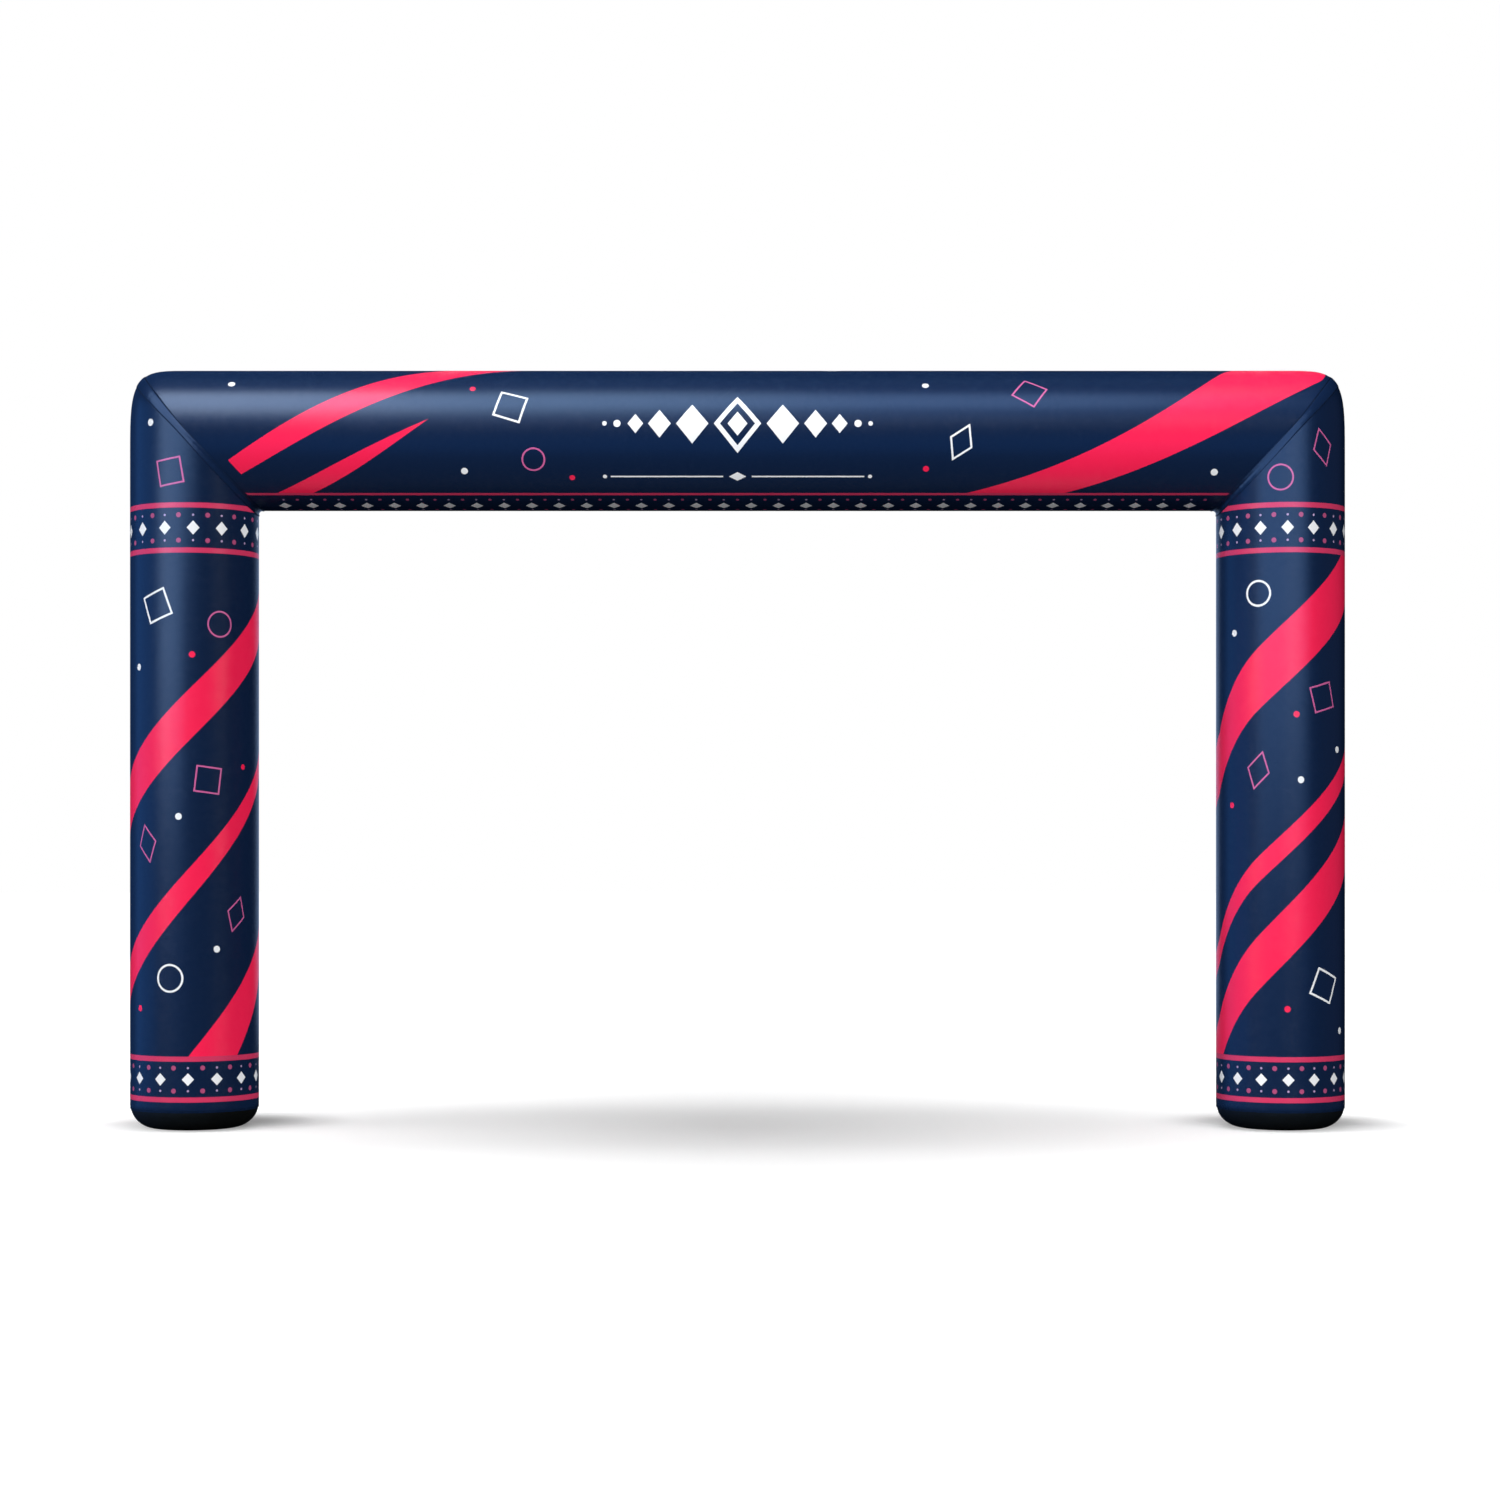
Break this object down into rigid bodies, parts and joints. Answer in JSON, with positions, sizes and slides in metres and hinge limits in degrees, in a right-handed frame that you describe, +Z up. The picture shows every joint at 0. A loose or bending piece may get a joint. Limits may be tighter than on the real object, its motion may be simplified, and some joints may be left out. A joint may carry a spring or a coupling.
{
  "type": "inflatable arch",
  "caption": "Free-standing inflatable portal arch: upright air tubes and a mitred header tube in printed cloth, on rounded black bases, for runners or guests to pass under.",
  "frame": {"origin": "on the ground, under the middle of the arch", "axes": "+X along the header towards the right leg, +Y from the front to the back, +Z up"},
  "size_m": [6.422, 0.7066, 4],
  "materials": {
    "printed_cloth": "satin coated polyester cloth, navy, printed with crimson ribbons and white lozenge borders",
    "seam_tape": "navy coated tape, sewn down along both edges",
    "base_cloth": "black heavy coated cloth, satin"
  },
  "bodies": {
    "root": {"header": "printed_cloth", "leg_left": "printed_cloth", "leg_right": "printed_cloth", "mitre_tape_left": "seam_tape", "mitre_tape_right": "seam_tape", "base_left": "base_cloth", "base_right": "base_cloth"}
  },
  "joints": []
}
